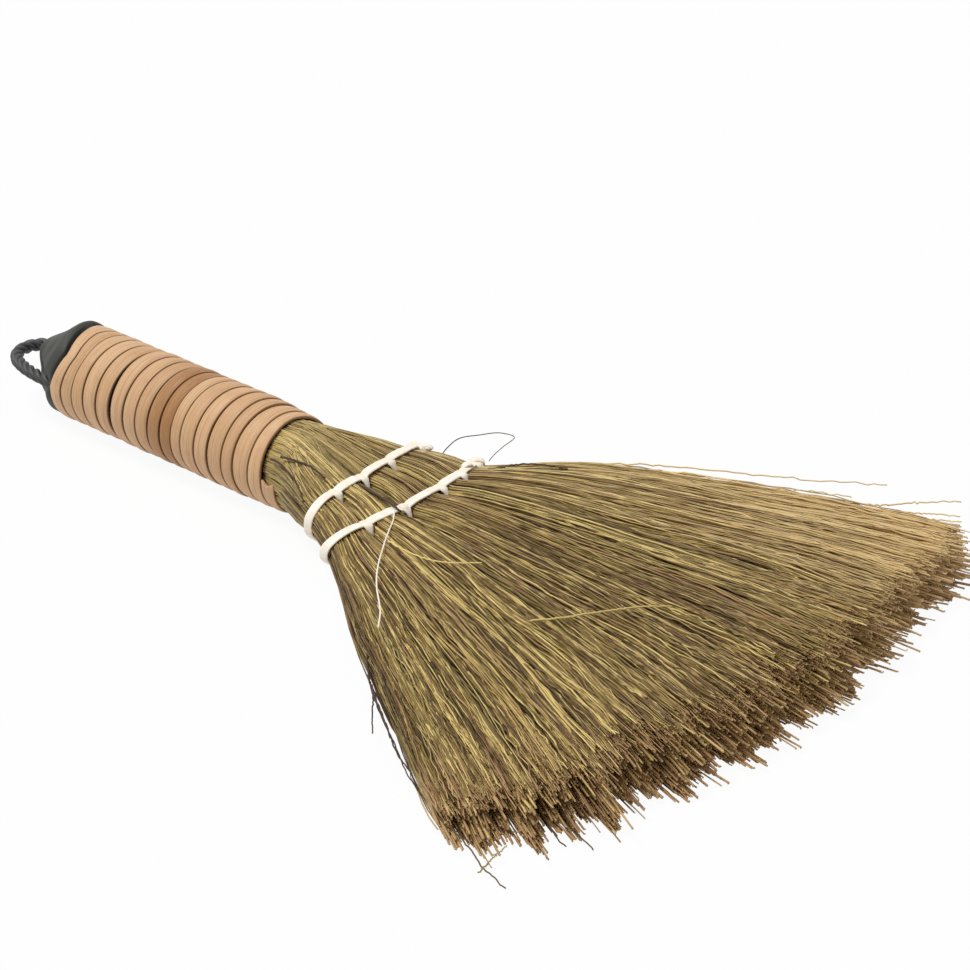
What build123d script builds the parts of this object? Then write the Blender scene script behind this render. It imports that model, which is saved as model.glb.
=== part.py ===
from build123d import *
import math
import os

# Hand broom lying flat: a fan of stalks, sewn flat by two rows and bound into a round handle.
# X runs from the hanging loop to the stalks' tips, Y runs across the fan and Z is up.
# Places along X are counted from the handle's rear edge, and heights from the handle's axis,
# until each piece is set down on Z = 0 with the middle of the broom over the origin.

# Strips wound round the handle
handle_diameter = 36.0
strip_width = 6.2
strip_thickness = 1.1
strip_gap = 0.67
rear_strip_turns = 8.0
middle_strip_turns = 2.0
front_strip_turns = 7.25
winding_setback = 2.5
strip_end_gap = 0.8
winding_clearance = 0.15
resting_cut = 0.5

# Black cap whose sleeve runs under the rear turns
cap_length = 16.0
cap_sleeve_length = 70.0
cap_wall = 1.05
cap_shoulder_step = 0.5
cap_shoulder_length = 7.0
cap_shoulder_rounding = 8.0
cap_end_radius = 12.5
cap_end_half_width = 9.2
cap_end_rounding = 2.5
cap_rim_gap = 0.3
cap_solid_length = 8.5
cap_flat_advance = 0.1

# Hanging loop of round cord
cord_diameter = 4.6
cord_cover = 0.05
cord_bend_setback = 12.0
cord_tail_end = 20.0
cord_running_gap = 0.3
cord_side_clearance = 0.4
cord_groove_clearance = 0.12

# Bound butts of the stalks inside the handle, and the two ties round them
core_end_gap = 0.1
tie_width = 2.4
tie_thickness = 1.1
tie_clearance = 0.1
rear_tie_place = 30.0
front_tie_setback = 10.0

# Roots of the six clumps, and the mouth just past the winding where they leave the handle
root_length = 9.0
root_setback = 8.0
root_overlap = 2.0
mouth_advance = 0.8
mouth_step = 0.4
mouth_split = 0.2

# Sewn stretch of the head, at its first and its second row, where it sits a little to the far side
first_row_advance = 25.0
first_row_half_width = 28.8
first_row_half_height = 9.3
first_row_end_radius = 6.5
first_row_drop = 1.3
first_row_sidestep = 3.4
second_row_advance = 20.5
second_row_half_width = 39.4
second_row_sidestep = 2.6
second_row_half_height = 8.0
second_row_end_radius = 5.0
second_row_drop = 2.2
row_split = 3.2

# Fan beyond the rows, whose tips are cut on an arc. Its sides swell at a share of the way to the
# tips.
fan_centre_setback = 11.0
fan_radius = 240.8
fan_half_angle = 33.4
fan_end_thickness = 24.0
fan_swell_share = 0.3
fan_swell_height = 8.0

# Clumps: their edges as shares of the head's half width, and the strands in each
clump_edge_shares = (-1.0, -0.62, -0.22, 0.24, 0.55, 0.85, 1.0)
clump_columns = (11, 12, 14, 9, 9, 5)
middle_layers = 8
edge_layers = 5
strand_fill_share = 0.78
lobe_share = 0.12
fan_edge_thinning_share = 0.4

# Flat bindings round the head and the stitches over them
hoop_width = 3.4
hoop_thickness = 0.9
hoop_clearance = 0.6
first_hoop_advance = 5.5
first_hoop_bend = 140.0
second_hoop_advance = 8.0
second_hoop_bend = 120.0
stitch_width = 2.2
stitch_thickness = 0.7
stitch_clearance = 0.25
stitch_corner_radius = 0.9
first_row_stitched_edges = (1, 2, 3, 5)
second_row_stitched_edges = (1, 2, 3, 4, 5)

# Loose end of the binding thread
thread_diameter = 0.6

# Cord routes, points chosen by hand. The loop's lie level with the handle's axis, count from its
# rear edge and go on from the leg's ball, and the thread's are in the finished broom's frame, on
# top of the fan. A corner's arc takes this share of its shorter run.
corner_run_share = 0.45
loop_half_route = ((-22.0, -12.6), (-31.5, -9.2), (-37.3, -3.4))
thread_route = (
    (21.2, -12.0, 23.35),
    (25.7, -16.4, 23.35),
    (29.2, -21.8, 23.1),
    (33.5, -28.3, 22.95),
    (38.7, -35.2, 22.9),
    (44.6, -43.0, 23.15),
    (51.6, -51.1, 23.6),
    (59.5, -58.9, 24.25),
    (66.1, -64.3, 23.9),
    (71.6, -69.0, 23.45),
    (76.8, -75.6, 22.8),
)

cutting_overrun = 5.0
samples_per_quarter = 8

# Sizes that follow from the ones above
handle_radius = handle_diameter / 2
axis_height = handle_radius - resting_cut
turn_pitch = strip_width + strip_gap
strip_path_radius = handle_radius - strip_thickness / 2
winding_start = strip_width / 2 - winding_setback
winding_turns = rear_strip_turns + middle_strip_turns + front_strip_turns
winding_end = winding_start + turn_pitch * winding_turns + strip_width / 2
sleeve_radius = handle_radius - strip_thickness - winding_clearance
bore_radius = sleeve_radius - cap_wall
cap_shoulder_radius = handle_radius - cap_shoulder_step
core_rear_radius = bore_radius - core_end_gap
core_rear = cap_solid_length - cap_length
mouth_place = winding_end + mouth_advance
root_front = mouth_place - root_setback
core_front = root_front - root_length
front_tie_place = core_front - front_tie_setback
root_radius = sleeve_radius - winding_clearance
mouth_radius = root_radius - mouth_step
first_row_place = mouth_place + first_row_advance
second_row_place = first_row_place + second_row_advance
first_hoop_place = first_row_place + first_hoop_advance
second_hoop_place = second_row_place + second_hoop_advance
fan_centre = mouth_place - fan_centre_setback
cord_radius = cord_diameter / 2
cord_leg_offset = sleeve_radius - cord_radius - cord_cover
tail_start = cord_radius + cord_running_gap - cord_bend_setback
loop_tip = loop_half_route[-1][0] - cord_radius
fan_tip = fan_centre + fan_radius
middle_of_broom = (fan_tip + loop_tip) / 2
set_down = Location((-middle_of_broom, 0, axis_height))


def helix_point(turns):
    """Gives the winding's point and direction, counted in turns from underneath the handle."""
    angle = -math.pi / 2 - 2 * math.pi * turns
    point = Vector(
        winding_start + turn_pitch * turns,
        strip_path_radius * math.cos(angle),
        strip_path_radius * math.sin(angle),
    )
    sideways = 2 * math.pi * strip_path_radius
    direction = Vector(turn_pitch, sideways * math.sin(angle), -sideways * math.cos(angle))
    return point, direction.normalized()


def biarc(start, start_direction, end, end_direction):
    """Joins two points by two arcs that are tangent to each other and to both directions."""
    span = end - start
    lean = span.dot(start_direction + end_direction)
    spread = 2 * (1 - start_direction.dot(end_direction))
    reach = (math.sqrt(lean * lean + spread * span.dot(span)) - lean) / spread
    start_control = start + start_direction * reach
    end_control = end - end_direction * reach
    joint = (start_control + end_control) / 2
    first = Edge.make_tangent_arc(start, start_direction, joint)
    second = Edge.make_tangent_arc(joint, end_control - start_control, end)
    return [first, second]


def wound_path(first_turn, last_turn):
    """Follows the winding in quarter turns, from just past the strip before it."""
    end_gap_turns = strip_end_gap / (2 * math.pi * strip_path_radius)
    quarters = round((last_turn - first_turn) * 4)
    stops = [first_turn + quarter / 4 for quarter in range(quarters + 1)]
    stops[0] += end_gap_turns
    edges = []
    for start, end in zip(stops, stops[1:]):
        edges += biarc(*helix_point(start), *helix_point(end))
    return Wire(edges), quarters


def least_turn_gap(path, quarters):
    """Measures the least space between a strip's turns, on points along its middle."""
    steps = quarters * samples_per_quarter
    half_turn = 2 * samples_per_quarter
    points = [path.position_at(step / steps) for step in range(steps + 1)]
    gaps = []
    for index, point in enumerate(points):
        for other in points[index + half_turn:]:
            gaps.append((other - point).length - strip_width)
    return min(gaps)


def wound_strip(first_turn, last_turn, name):
    """Winds one flat strip round the handle and cuts it flat where it rests."""
    path, quarters = wound_path(first_turn, last_turn)
    start = path.position_at(0)
    end = path.position_at(1)
    outward = Vector(0, start.Y, start.Z).normalized()
    section_plane = Plane(origin=start, x_dir=outward, z_dir=path.tangent_at(0))
    section = section_plane * Rectangle(strip_thickness, strip_width)
    handle_axis = Wire([Edge.make_line((start.X, 0, 0), (end.X, 0, 0))])
    strip = Solid.sweep(section.face(), path, mode=handle_axis)
    print(name, "least gap between turns", round(least_turn_gap(path, quarters), 3))
    return strip - floor_cutter()


def floor_cutter():
    """Fills the space under the surface that the broom rests on."""
    length = fan_tip - loop_tip + 2 * cutting_overrun
    width = 2 * fan_radius
    depth = handle_radius
    return Pos(middle_of_broom, 0, -axis_height - depth / 2) * Box(length, width, depth)


def tail_bore():
    """Fills the two grooves in which the loop's tails lie."""
    length = cord_tail_end + cord_bend_setback
    radius = cord_radius + cord_groove_clearance
    middle = (cord_tail_end - cord_bend_setback) / 2 + core_end_gap
    near = Pos(middle, -cord_leg_offset, 0) * Rot(0, 90, 0) * Cylinder(radius, length)
    far = Pos(middle, cord_leg_offset, 0) * Rot(0, 90, 0) * Cylinder(radius, length)
    return near + far


def turned(outline):
    """Turns an outline of places along the axis and radii round the handle's axis."""
    profile = Plane.XZ * outline
    return revolve(profile, Axis.X)


def end_cap():
    """Makes the black cap: a thin sleeve, a solid rounded end and a flat on each side."""
    rim = -winding_setback - cap_rim_gap
    shoulder = -cap_shoulder_length
    corners = [
        (cap_sleeve_length, bore_radius),
        (cap_sleeve_length, sleeve_radius),
        (rim, sleeve_radius),
        (rim, cap_shoulder_radius),
        (shoulder, cap_shoulder_radius),
        (-cap_length, cap_end_radius),
        (-cap_length, 0),
        (core_rear - core_end_gap, 0),
        (core_rear - core_end_gap, bore_radius),
    ]
    outline = make_face(Polyline(*corners, close=True))
    for place, height, rounding in (
        (shoulder, cap_shoulder_radius, cap_shoulder_rounding),
        (-cap_length, cap_end_radius, cap_end_rounding),
    ):
        corner = outline.vertices().sort_by_distance((place, height, 0))[0]
        outline = fillet(corner, rounding)
    cap = turned(outline)
    flat_start = tail_start + cap_flat_advance
    flat_width = cord_leg_offset - cord_radius - cord_side_clearance
    behind = -cap_length - cutting_overrun
    beside = handle_radius + cutting_overrun
    narrowing = (flat_width - cap_end_half_width) / (flat_start + cap_length)
    behind_width = cap_end_half_width - narrowing * cutting_overrun
    flat = [(flat_start, flat_width), (flat_start, beside), (behind, beside), (behind, behind_width)]
    far_side = Pos(0, 0, -handle_radius) * extrude(make_face(Polyline(*flat, close=True)), handle_diameter)
    near_side = far_side.mirror(Plane.XZ)
    return cap - far_side - near_side - tail_bore()


def handle_core():
    """Makes the bound butts of the stalks, stepped for the cap's sleeve and grooved for ties."""
    step = cap_sleeve_length + core_end_gap * 2
    rear_length = step - core_rear
    front_length = core_front - step
    rear = Pos(core_rear + rear_length / 2, 0, 0) * Rot(0, 90, 0) * Cylinder(core_rear_radius, rear_length)
    front = Pos(step + front_length / 2, 0, 0) * Rot(0, 90, 0) * Cylinder(sleeve_radius, front_length)
    core = rear + front
    for place, radius in ((rear_tie_place, core_rear_radius), (front_tie_place, sleeve_radius)):
        width = tie_width + 2 * tie_clearance
        floor_radius = radius - tie_thickness - 2 * tie_clearance
        core -= ring_about_axis(place, radius + cutting_overrun, floor_radius, width)
    return core - tail_bore() - floor_cutter()


def ring_about_axis(place, outer_radius, inner_radius, width):
    """Makes a plain ring round the handle's axis."""
    outer = Cylinder(outer_radius, width)
    inner = Cylinder(inner_radius, width)
    return Pos(place, 0, 0) * Rot(0, 90, 0) * (outer - inner)


def inner_tie(place, core_radius):
    """Makes the tie that draws the butts together under the winding."""
    outer_radius = core_radius - tie_clearance
    return ring_about_axis(place, outer_radius, outer_radius - tie_thickness, tie_width)


def fillet_radii(route):
    """Gives each corner of a route its radius: as large as its two runs allow."""
    radii = []
    for before, corner, after in zip(route, route[1:], route[2:]):
        run_in = Vector(*corner) - Vector(*before)
        run_out = Vector(*after) - Vector(*corner)
        half_turn = math.radians(run_in.get_angle(run_out)) / 2
        shorter_run = min(run_in.length, run_out.length)
        radii.append(corner_run_share * shorter_run / math.tan(half_turn))
    return radii


def cord_tube(route, diameter, name):
    """Sweeps a round cord along straight runs joined by tangent arcs."""
    radii = fillet_radii(route)
    path = FilletPolyline(*route, radius=radii).wire()
    section = Plane(origin=path.position_at(0), z_dir=path.tangent_at(0)) * Circle(diameter / 2)
    tube = Solid.sweep(section.face(), path)
    expected = math.pi * diameter * diameter / 4 * path.length
    print(name, "length", round(path.length, 2), "volume share", round(tube.volume / expected, 4))
    print(name, "radii", [round(radius, 2) for radius in radii])
    return tube


def hanging_loop():
    """Makes the free loop, with a ball at each end on the line that it bends about."""
    route = ((-cord_bend_setback, -cord_leg_offset),) + loop_half_route
    near_half = [(x, y, 0) for x, y in route]
    far_half = [(x, -y, 0) for x, y in reversed(route)]
    loop = cord_tube(near_half + far_half, cord_diameter, "hanging_loop")
    for side in (-1, 1):
        loop += Pos(-cord_bend_setback, side * cord_leg_offset, 0) * Sphere(cord_radius)
    return loop


def loop_tail(side):
    """Makes one end of the loop's cord, held under the winding."""
    length = cord_tail_end - tail_start
    middle = (cord_tail_end + tail_start) / 2
    return Pos(middle, side * cord_leg_offset, 0) * Rot(0, 90, 0) * Cylinder(cord_radius, length)


def oval_half_height(place, half_width, half_height, end_radius):
    """Gives an oval's half height at a place across it: a flat arc between two round ends."""
    end_centre = half_width - end_radius
    across = min(abs(place), half_width)
    if end_centre <= 0:
        return math.sqrt(half_width * half_width - across * across)
    crown, tangent_place = oval_crown(half_width, half_height, end_radius)
    if across <= tangent_place:
        return math.sqrt(crown * crown - across * across) - crown + half_height
    past = across - end_centre
    return math.sqrt(max(end_radius * end_radius - past * past, 0))


def oval_crown(half_width, half_height, end_radius):
    """Gives the radius of an oval's flat arc, and where it meets the round ends."""
    end_centre = half_width - end_radius
    rise = half_height - end_radius
    crown = (end_centre * end_centre + half_height * half_height - end_radius * end_radius) / (2 * rise)
    return crown, end_centre * crown / (crown - end_radius)


def oval_face(half_width, half_height, end_radius):
    """Draws the oval in the plane across the broom."""
    crown, tangent_place = oval_crown(half_width, half_height, end_radius)
    tangent_height = oval_half_height(tangent_place, half_width, half_height, end_radius)
    corner = {}
    for side in (-1, 1):
        for level in (-1, 1):
            corner[side, level] = (side * tangent_place, level * tangent_height)
    top = ThreePointArc(corner[-1, 1], (0, half_height), corner[1, 1])
    far = ThreePointArc(corner[1, 1], (half_width, 0), corner[1, -1])
    bottom = ThreePointArc(corner[1, -1], (0, -half_height), corner[-1, -1])
    near = ThreePointArc(corner[-1, -1], (-half_width, 0), corner[-1, 1])
    return Plane.YZ * make_face([top, far, bottom, near])


def split_place(clump, share, half_width, split):
    """Gives a share's place across the head, where the clumps stand apart by the split."""
    low_share = clump_edge_shares[clump]
    high_share = clump_edge_shares[clump + 1]
    low = half_width * low_share
    high = half_width * high_share
    if clump > 0:
        low += split / 2
    if clump < len(clump_columns) - 1:
        high -= split / 2
    return low + (high - low) * (share - low_share) / (high_share - low_share)


def lobe(clump, share):
    """Lowers a clump's sides at the rows, so that it swells between its stitches."""
    low_share = clump_edge_shares[clump]
    high_share = clump_edge_shares[clump + 1]
    off_middle = (2 * share - low_share - high_share) / (high_share - low_share)
    return 1 - lobe_share * off_middle * off_middle


def fan_point(share):
    """Gives the tip's place along and across the broom for a share of the fan."""
    angle = math.radians(fan_half_angle) * share
    return fan_centre + fan_radius * math.cos(angle), fan_radius * math.sin(angle)


def strand_sections(clump, low_share, high_share):
    """Lists a column's sections from root to tip: place, low side, high side, bottom and top."""
    middle_share = (low_share + high_share) / 2
    sections = []
    stations = (
        (root_front - root_overlap, mouth_radius, mouth_radius, mouth_radius, 0, 0, mouth_split),
        (mouth_place, mouth_radius, mouth_radius, mouth_radius, 0, 0, mouth_split),
        (first_row_place, first_row_half_width, first_row_half_height, first_row_end_radius,
         first_row_drop, first_row_sidestep, row_split),
        (second_row_place, second_row_half_width, second_row_half_height, second_row_end_radius,
         second_row_drop, second_row_sidestep, row_split),
    )
    for place, half_width, half_height, end_radius, drop, sidestep, split in stations:
        low = split_place(clump, low_share, half_width, split)
        high = split_place(clump, high_share, half_width, split)
        outermost = max(abs(low), abs(high))
        height = oval_half_height(outermost, half_width, half_height, end_radius)
        if split == row_split:
            height *= lobe(clump, middle_share)
        sections.append((place, sidestep + low, sidestep + high, -drop - height, -drop + height))
    edge_weight = middle_share * middle_share
    bottom = -axis_height - resting_cut
    top = bottom + fan_end_thickness * (1 - fan_edge_thinning_share * edge_weight)
    tip = (fan_point(middle_share)[0], fan_point(low_share)[1], fan_point(high_share)[1], bottom, top)
    swell = [start + (end - start) * fan_swell_share for start, end in zip(sections[-1], tip)]
    swell[-1] += fan_swell_height * edge_weight * edge_weight
    return sections + [swell, tip]


def strand(sections, layer, layers):
    """Makes one four-sided strand through a column's sections."""
    margin = (1 - strand_fill_share) / 2
    rings = []
    for place, low, high, bottom, top in sections:
        level = (top - bottom) / layers
        floor_level = bottom + level * (layer + margin)
        roof_level = bottom + level * (layer + 1 - margin)
        if layer == 0:
            floor_level = bottom
        if layer == layers - 1:
            roof_level = top
        ring = [(place, low, floor_level), (place, high, floor_level)]
        ring += [(place, high, roof_level), (place, low, roof_level)]
        rings.append(ring)
    faces = [Face(Wire.make_polygon(rings[0])), Face(Wire.make_polygon(rings[-1]))]
    for ring, next_ring in zip(rings, rings[1:]):
        for side in range(4):
            after = (side + 1) % 4
            corners = [ring[side], ring[after], next_ring[after], next_ring[side]]
            faces.append(Face(Wire.make_polygon(corners)))
    return Solid(Shell(faces))


def clump_root(clump):
    """Cuts a clump's slice out of the round of roots."""
    low = mouth_radius * clump_edge_shares[clump]
    high = mouth_radius * clump_edge_shares[clump + 1]
    if clump == 0:
        low = -root_radius
    if clump == len(clump_columns) - 1:
        high = root_radius
    round_of_roots = Rot(0, 90, 0) * Cylinder(root_radius, root_length)
    slab = Pos(0, (low + high) / 2, 0) * Box(root_length, high - low, handle_diameter)
    return Pos(core_front + root_length / 2, 0, 0) * (round_of_roots & slab)


def bristle_clump(clump):
    """Fuses a clump's strands to their slice of the roots and cuts them flat where they rest."""
    low_share = clump_edge_shares[clump]
    high_share = clump_edge_shares[clump + 1]
    columns = clump_columns[clump]
    step = (high_share - low_share) / columns
    margin = step * (1 - strand_fill_share) / 2
    strands = []
    for column in range(columns):
        start = low_share + step * column + margin
        end = low_share + step * (column + 1) - margin
        across = (start + end) / 2
        layers = round(edge_layers + (middle_layers - edge_layers) * (1 - across * across)) - column % 2
        sections = strand_sections(clump, start, end)
        for layer in range(layers):
            strands.append(strand(sections, layer, layers))
    root = clump_root(clump)
    fused = root.fuse(*strands)
    return fused - floor_cutter(), len(strands)


def row_point(row, share):
    """Gives a share's place along and across the broom at a row."""
    if row == 1:
        return first_row_place, first_row_sidestep + first_row_half_width * share
    return second_row_place, second_row_sidestep + second_row_half_width * share


def share_slope(row, share):
    """Gives the slope across the broom of a share's line, just past a row."""
    place, across = row_point(row, share)
    next_place, next_across = row_point(2, share) if row == 1 else fan_point(share)
    return (next_across - across) / (next_place - place)


def hoop_sizes(row):
    """Gives a row's inner oval: place of its middle, bend, half width, half height, end and drop."""
    if row == 1:
        sizes = (first_row_place, first_row_half_width, first_row_half_height, first_row_drop)
        place, bend, end_radius = first_hoop_place, first_hoop_bend, first_row_end_radius
    else:
        sizes = (second_row_place, second_row_half_width, second_row_half_height, second_row_drop)
        place, bend, end_radius = second_hoop_place, second_hoop_bend, second_row_end_radius
    row_place, half_width, half_height, drop = sizes
    end_place = hoop_place(place, bend, row_point(row, -1)[1])
    spread = (share_slope(row, 1) - share_slope(row, -1)) / 2
    widened = half_width + spread * max(end_place + hoop_width / 2 - row_place, 0)
    inner_sizes = [size + hoop_clearance for size in (widened, half_height, end_radius)]
    return place, bend, *inner_sizes, drop


def hoop_place(middle_place, bend, across):
    """Gives a bowed row's place along the broom at a place across it."""
    return middle_place - bend + math.sqrt(bend * bend - across * across)


def row_hoop(row):
    """Makes the flat binding that goes once round the head, bowed towards the tips."""
    place, bend, half_width, half_height, end_radius, drop = hoop_sizes(row)
    inner = oval_face(half_width, half_height, end_radius)
    outer = oval_face(
        half_width + hoop_thickness, half_height + hoop_thickness, end_radius + hoop_thickness
    )
    sidestep = row_point(row, 0)[1]
    rear = hoop_place(place, bend, sidestep + half_width + hoop_thickness) - hoop_width
    front = place + hoop_width
    band = Pos(rear, sidestep, -drop) * extrude(outer - inner, front - rear)
    tall = handle_diameter * 2
    bow = Cylinder(bend + hoop_width / 2, tall) - Cylinder(bend - hoop_width / 2, tall)
    return band & (Pos(place - bend, 0, 0) * bow)


def row_stitch(row, edge):
    """Makes one stitch: over the binding, down through the head and back up behind the binding."""
    place, bend, half_width, half_height, end_radius, drop = hoop_sizes(row)
    share = clump_edge_shares[edge]
    slope = share_slope(row, share)
    row_place, across = row_point(row, share)
    along = hoop_place(place, bend, across)
    across += slope * (along - row_place)
    along = hoop_place(place, bend, across)
    inner_side = max(abs(across - row_point(row, 0)[1]) - stitch_width / 2, 0)
    outline = (half_width + hoop_thickness, half_height + hoop_thickness, end_radius + hoop_thickness)
    reach = oval_half_height(inner_side, *outline) + stitch_clearance
    half_length = hoop_width / 2 + stitch_clearance * 2
    outer = RectangleRounded(
        2 * (half_length + stitch_thickness), 2 * (reach + stitch_thickness),
        stitch_corner_radius + stitch_thickness,
    )
    inner = RectangleRounded(2 * half_length, 2 * reach, stitch_corner_radius)
    ring = extrude(Plane.XZ * (outer - inner), stitch_width / 2, both=True)
    heading = math.degrees(math.atan(slope))
    return Pos(along, across, -drop) * Rot(0, 0, heading) * ring


def write_piece(name, shape, place):
    """Writes one piece in the finished broom's frame."""
    export_step(shape.moved(place) if place else shape, f"parts/{name}.step")


def main():
    """Builds and writes every piece."""
    os.makedirs("parts", exist_ok=True)
    pieces = {
        "hanging_loop": hanging_loop(),
        "loop_tail_near": loop_tail(-1),
        "loop_tail_far": loop_tail(1),
        "end_cap": end_cap(),
        "handle_core": handle_core(),
        "inner_tie_rear": inner_tie(rear_tie_place, core_rear_radius),
        "inner_tie_front": inner_tie(front_tie_place, sleeve_radius),
    }
    strip_turns = (
        ("wrap_strip_rear", rear_strip_turns),
        ("wrap_strip_middle", middle_strip_turns),
        ("wrap_strip_front", front_strip_turns),
    )
    turn = 0
    for name, turns in strip_turns:
        pieces[name] = wound_strip(turn, turn + turns, name)
        turn += turns
    strand_count = 0
    for clump in range(len(clump_columns)):
        pieces[f"bristle_clump_{clump + 1}"], strands = bristle_clump(clump)
        strand_count += strands
    print("strands in all", strand_count)
    for row, name, edges in (
        (1, "first_row", first_row_stitched_edges),
        (2, "second_row", second_row_stitched_edges),
    ):
        pieces[f"{name}_hoop"] = row_hoop(row)
        for number, edge in enumerate(edges, start=1):
            pieces[f"{name}_stitch_{number}"] = row_stitch(row, edge)
    for name, shape in pieces.items():
        write_piece(name, shape, set_down)
    write_piece("thread_tail", cord_tube(thread_route, thread_diameter, "thread_tail"), None)


main()
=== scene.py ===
# %% [markdown]
# # A hand broom, dressed for its portrait
# The broom is a sheaf of thin grass stalks. Their butts are bound into a round handle by a flat
# strip, and the head is sewn flat by two rows of pale binding. Blender adds what the eye looks
# for: thousands of stalks, the grain of the strip, the twist of the cord. All sizes are in
# metres.

import math

import bpy
import numpy as np
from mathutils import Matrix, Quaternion, Vector


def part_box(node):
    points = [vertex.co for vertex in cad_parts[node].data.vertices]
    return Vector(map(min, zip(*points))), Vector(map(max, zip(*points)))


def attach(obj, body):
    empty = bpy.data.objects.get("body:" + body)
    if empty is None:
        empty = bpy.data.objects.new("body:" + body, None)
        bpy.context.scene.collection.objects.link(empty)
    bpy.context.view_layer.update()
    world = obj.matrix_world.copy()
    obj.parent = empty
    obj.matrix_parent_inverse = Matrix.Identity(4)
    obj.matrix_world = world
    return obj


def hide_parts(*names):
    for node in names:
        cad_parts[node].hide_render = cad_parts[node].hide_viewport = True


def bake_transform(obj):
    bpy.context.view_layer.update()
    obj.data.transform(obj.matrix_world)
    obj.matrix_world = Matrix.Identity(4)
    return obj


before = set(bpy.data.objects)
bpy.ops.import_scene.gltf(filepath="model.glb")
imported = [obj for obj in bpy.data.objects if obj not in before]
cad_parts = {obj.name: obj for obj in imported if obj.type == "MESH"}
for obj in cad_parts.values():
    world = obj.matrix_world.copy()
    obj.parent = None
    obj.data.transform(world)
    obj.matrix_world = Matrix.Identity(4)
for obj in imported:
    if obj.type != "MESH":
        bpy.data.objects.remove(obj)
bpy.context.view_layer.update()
bpy.ops.object.select_all(action="DESELECT")

# %% [markdown]
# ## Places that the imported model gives
# Every new piece is set out from the solids' own boxes, so it follows them if they change. The
# handle lies along X, and its axis is level. The two rows give the head's width and height.

# %% Read the main places from the solids
rear_low, rear_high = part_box("wrap_strip_rear")
middle_low, middle_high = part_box("wrap_strip_middle")
front_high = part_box("wrap_strip_front")[1]
cap_low, cap_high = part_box("end_cap")

axis_height = (cap_low.z + cap_high.z) / 2
handle_radius = rear_high.z - axis_height
strip_thickness = 0.0011
rear_turns, middle_turns, front_turns = 8.0, 2.0, 7.25
rear_run = rear_high.x - rear_low.x
middle_run = middle_high.x - middle_low.x
turn_pitch = (rear_run - middle_run) / (rear_turns - middle_turns)
strip_width = middle_run - middle_turns * turn_pitch
winding_start = rear_low.x + strip_width / 2
mouth_gap = 0.0008
mouth_x = front_high.x + mouth_gap
print("axis height", axis_height, "pitch", turn_pitch, "strip width", strip_width)

hoop_width = 0.0034
hoop_thickness = 0.0009
hoop_bends = {"first_row": 0.139, "second_row": 0.1125}
bow_middles = {"first_row": -0.0105, "second_row": -0.0054}
bow_advances = {"first_row": -0.0002, "second_row": 0.0008}
row_swells = {"first_row": 0.0006, "second_row": 0.0}
row_tilts = {"first_row": 0.03, "second_row": 0.0}
row_fullness = 2.65
clump_edge_shares = (-1.0, -0.62, -0.22, 0.24, 0.55, 0.85, 1.0)
stitched_edges = {"first_row": (1, 2, 3, 5), "second_row": (1, 2, 3, 4, 5)}


def row_sizes(row):
    """Gives a row's half width and half height inside the binding, and its middle across and up."""
    low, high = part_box(row + "_hoop")
    half_width = (high.y - low.y) / 2 - hoop_thickness
    half_height = (high.z - low.z) / 2 - hoop_thickness + row_swells[row]
    return half_width, half_height, (high.y + low.y) / 2, (high.z + low.z) / 2


def row_place(row, across):
    """Gives a bowed row's place along the broom at a place across it."""
    bend = hoop_bends[row]
    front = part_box(row + "_hoop")[1].x - hoop_width / 2 + bow_advances[row]
    return front - bend + np.sqrt(bend * bend - (across - bow_middles[row]) ** 2)


fan_centre_depth = 0.011
fan_centre_x = mouth_x - fan_centre_depth
fan_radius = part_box("bristle_clump_3")[1].x - fan_centre_x
fan_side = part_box("bristle_clump_6")[1].y
fan_half_angle = math.asin(fan_side / fan_radius)
print("rows", row_sizes("first_row"), row_sizes("second_row"))
print("fan radius", fan_radius, "half angle", math.degrees(fan_half_angle))

# %% [markdown]
# ## The camera
# The picture was taken from the broom's near side with a long lens. The place, the aim and the
# lens were fitted to points that can be told in the picture: the handle's rear edge, the mouth,
# the ends of both rows and the corners of the fan.

# %% Set up the camera
camera_place = Vector((0.7435, -0.7341, 0.5343))
camera_aim = Vector((0.0104, 0.0458, 0.0099))
camera_roll = math.radians(0.09)
camera_lens = 121.4
camera_sensor = 36.0

bpy.ops.object.camera_add(location=camera_place)
camera = bpy.context.object
camera.name = "portrait_camera"
camera.rotation_mode = "QUATERNION"
looking = (camera_aim - camera_place).to_track_quat("-Z", "Y")
camera.rotation_quaternion = looking @ Quaternion((0, 0, 1), camera_roll)
camera.data.lens = camera_lens
camera.data.sensor_width = camera_sensor
bpy.context.scene.camera = camera

# %% [markdown]
# ## Writing a material as sums
# A material is a small machine of nodes. The class below lets a node's output be used in plain
# sums, such as `1 - mask`, and each sum adds its Math node. Colours go through Mix nodes,
# because a Math node would turn them grey.


# %% A small helper for materials
def paint(red, green, blue):
    """Turns a colour as seen on a screen, 0 to 255, into the light values that Blender mixes."""
    light = []
    for value in (red, green, blue):
        share = value / 255
        light.append(share / 12.92 if share <= 0.04045 else ((share + 0.055) / 1.055) ** 2.4)
    return (*light, 1.0)


class Value:
    """The output of a node, which Python's sums act on."""

    def __init__(self, nodes, socket):
        self.nodes = nodes
        self.socket = socket

    def math(self, operation, first, second, clamp=False):
        settings = {"operation": operation, "use_clamp": clamp}
        return self.nodes.node("ShaderNodeMath", settings, {0: first, 1: second})

    def __add__(self, other):
        return self.math("ADD", self, other)

    def __mul__(self, other):
        return self.math("MULTIPLY", self, other)

    def __sub__(self, other):
        return self.math("SUBTRACT", self, other)

    def __rsub__(self, other):
        return self.math("SUBTRACT", other, self)

    __radd__ = __add__
    __rmul__ = __mul__

    def clamped(self):
        """Keeps the value between 0 and 1."""
        return self.math("ADD", self, 0.0, clamp=True)


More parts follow.
